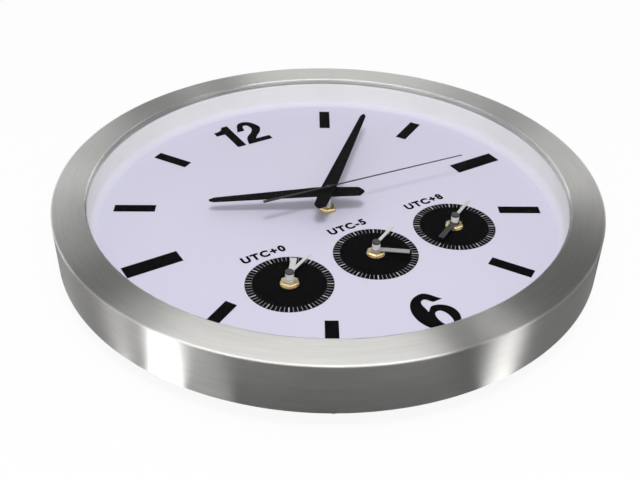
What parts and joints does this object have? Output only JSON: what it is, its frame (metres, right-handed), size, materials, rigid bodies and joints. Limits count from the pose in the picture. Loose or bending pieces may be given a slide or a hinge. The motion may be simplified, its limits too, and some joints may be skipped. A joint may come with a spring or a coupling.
{
  "type": "world time clock",
  "caption": "Round metal-cased quartz clock with a large main dial and small black time-zone dials, hands geared to rear setting knobs, and a keyhole hanger.",
  "frame": {"origin": "centre of the back cover's rear plane, on the main dial's axis; the clock lies on its back", "axes": "+Z out of the dial along the hand arbors, +Y towards twelve, +X towards three"},
  "size_m": [0.35, 0.35, 0.045],
  "materials": {
    "brushed_rim": "brushed round the ring, satin",
    "clear_glass": "polished flat",
    "black_rubber": "matt",
    "white_plastic": "matt moulded",
    "dial_board": "pale lavender white, matt printed",
    "black_print": "black ink",
    "black_cover": "fine moulded texture",
    "movement_plastic": "fine moulded texture",
    "gear_plastic": "moulded natural plastic",
    "hand_black": "matt black paint",
    "hand_silver": "bright rolled strip",
    "cap_grey": "satin turned",
    "brass": "turned, bright",
    "zinc_steel": "zinc plated",
    "spring_steel": "nickel plated strip",
    "battery_jacket": "printed film jacket, no words",
    "circuit_board": "solder mask green",
    "copper_coil": "enamelled copper wire",
    "stator_iron": "bare soft iron sheet"
  },
  "bodies": {
    "case": {"rim": "brushed_rim", "glass": "clear_glass", "glass_gasket": "black_rubber", "inner_ring": "white_plastic", "dial": "dial_board", "dial_spacer": "white_plastic", "hour_markers": "black_print", "sub_dials": "black_print", "back_cover": "black_cover", "back_cover_screws": "zinc_steel", "hanger_plate": "zinc_steel", "hanger_rivets": "zinc_steel", "threaded_bushes": "brass", "hand_nuts": "brass", "washers": "brass", "movement_gaskets": "black_rubber", "battery_contacts": "spring_steel", "circuit_boards": "circuit_board", "coils": "copper_coil", "stators": "stator_iron", "movement_case_main": "movement_plastic", "movement_cover_main": "movement_plastic", "battery_main": "battery_jacket", "movement_case_left": "movement_plastic", "movement_cover_left": "movement_plastic", "battery_left": "battery_jacket", "movement_case_middle": "movement_plastic", "movement_cover_middle": "movement_plastic", "battery_middle": "battery_jacket", "movement_case_right": "movement_plastic", "movement_cover_right": "movement_plastic", "battery_right": "battery_jacket"},
    "minute_main": {"minute_hand_main": "hand_black", "minute_arbor_main": "gear_plastic"},
    "hour_main": {"hour_hand_main": "hand_black", "hour_wheel_main": "zinc_steel"},
    "setting_main": {"setting_wheel_main": "gear_plastic"},
    "minute_left": {"minute_hand_left": "hand_silver", "minute_arbor_left": "gear_plastic", "hand_cap_left": "cap_grey"},
    "hour_left": {"hour_hand_left": "hand_silver", "hour_wheel_left": "zinc_steel"},
    "setting_left": {"setting_wheel_left": "gear_plastic"},
    "minute_middle": {"minute_hand_middle": "hand_silver", "minute_arbor_middle": "gear_plastic", "hand_cap_middle": "cap_grey"},
    "hour_middle": {"hour_hand_middle": "hand_silver", "hour_wheel_middle": "zinc_steel"},
    "setting_middle": {"setting_wheel_middle": "gear_plastic"},
    "minute_right": {"minute_hand_right": "hand_silver", "minute_arbor_right": "gear_plastic", "hand_cap_right": "cap_grey"},
    "hour_right": {"hour_hand_right": "hand_silver", "hour_wheel_right": "zinc_steel"},
    "setting_right": {"setting_wheel_right": "gear_plastic"},
    "second": {"second_hand": "hand_black", "second_arbor": "spring_steel"},
    "third": {"third_wheel": "gear_plastic"}
  },
  "joints": [
    {"name": "minute_turn_main", "type": "hinge", "parent": "case", "child": "minute_main", "pos_m": [0, 0, 0.0225], "axis": [0, 0, 1], "continuous": true},
    {"name": "hour_turn_main", "type": "hinge", "parent": "case", "child": "hour_main", "pos_m": [0, 0, 0.0225], "axis": [0, 0, 1], "continuous": true},
    {"name": "setting_turn_main", "type": "hinge", "parent": "case", "child": "setting_main", "pos_m": [0, 0.012, 0.0225], "axis": [0, 0, 1], "continuous": true},
    {"name": "minute_turn_left", "type": "hinge", "parent": "case", "child": "minute_left", "pos_m": [-0.061, -0.0576, 0.0225], "axis": [0, 0, 1], "continuous": true},
    {"name": "hour_turn_left", "type": "hinge", "parent": "case", "child": "hour_left", "pos_m": [-0.061, -0.0576, 0.0225], "axis": [0, 0, 1], "continuous": true},
    {"name": "setting_turn_left", "type": "hinge", "parent": "case", "child": "setting_left", "pos_m": [-0.061, -0.0456, 0.0225], "axis": [0, 0, 1], "continuous": true},
    {"name": "minute_turn_middle", "type": "hinge", "parent": "case", "child": "minute_middle", "pos_m": [0, -0.0576, 0.0225], "axis": [0, 0, 1], "continuous": true},
    {"name": "hour_turn_middle", "type": "hinge", "parent": "case", "child": "hour_middle", "pos_m": [0, -0.0576, 0.0225], "axis": [0, 0, 1], "continuous": true},
    {"name": "setting_turn_middle", "type": "hinge", "parent": "case", "child": "setting_middle", "pos_m": [0, -0.0456, 0.0225], "axis": [0, 0, 1], "continuous": true},
    {"name": "minute_turn_right", "type": "hinge", "parent": "case", "child": "minute_right", "pos_m": [0.061, -0.0576, 0.0225], "axis": [0, 0, 1], "continuous": true},
    {"name": "hour_turn_right", "type": "hinge", "parent": "case", "child": "hour_right", "pos_m": [0.061, -0.0576, 0.0225], "axis": [0, 0, 1], "continuous": true},
    {"name": "setting_turn_right", "type": "hinge", "parent": "case", "child": "setting_right", "pos_m": [0.061, -0.0456, 0.0225], "axis": [0, 0, 1], "continuous": true},
    {"name": "second_turn", "type": "hinge", "parent": "case", "child": "second", "pos_m": [0, 0, 0.0225], "axis": [0, 0, 1], "continuous": true},
    {"name": "third_turn", "type": "hinge", "parent": "case", "child": "third", "pos_m": [0.0108, 0, 0.0225], "axis": [0, 0, 1], "continuous": true}
  ],
  "couplings": [
    {"joint": "hour_turn_main", "follows": "minute_turn_main", "ratio": 0.083333},
    {"joint": "setting_turn_main", "follows": "minute_turn_main", "ratio": -0.33333},
    {"joint": "hour_turn_left", "follows": "minute_turn_left", "ratio": 0.083333},
    {"joint": "setting_turn_left", "follows": "minute_turn_left", "ratio": -0.33333},
    {"joint": "hour_turn_middle", "follows": "minute_turn_middle", "ratio": 0.083333},
    {"joint": "setting_turn_middle", "follows": "minute_turn_middle", "ratio": -0.33333},
    {"joint": "hour_turn_right", "follows": "minute_turn_right", "ratio": 0.083333},
    {"joint": "setting_turn_right", "follows": "minute_turn_right", "ratio": -0.33333},
    {"joint": "third_turn", "follows": "minute_turn_main", "ratio": -8},
    {"joint": "second_turn", "follows": "minute_turn_main", "ratio": 60}
  ]
}
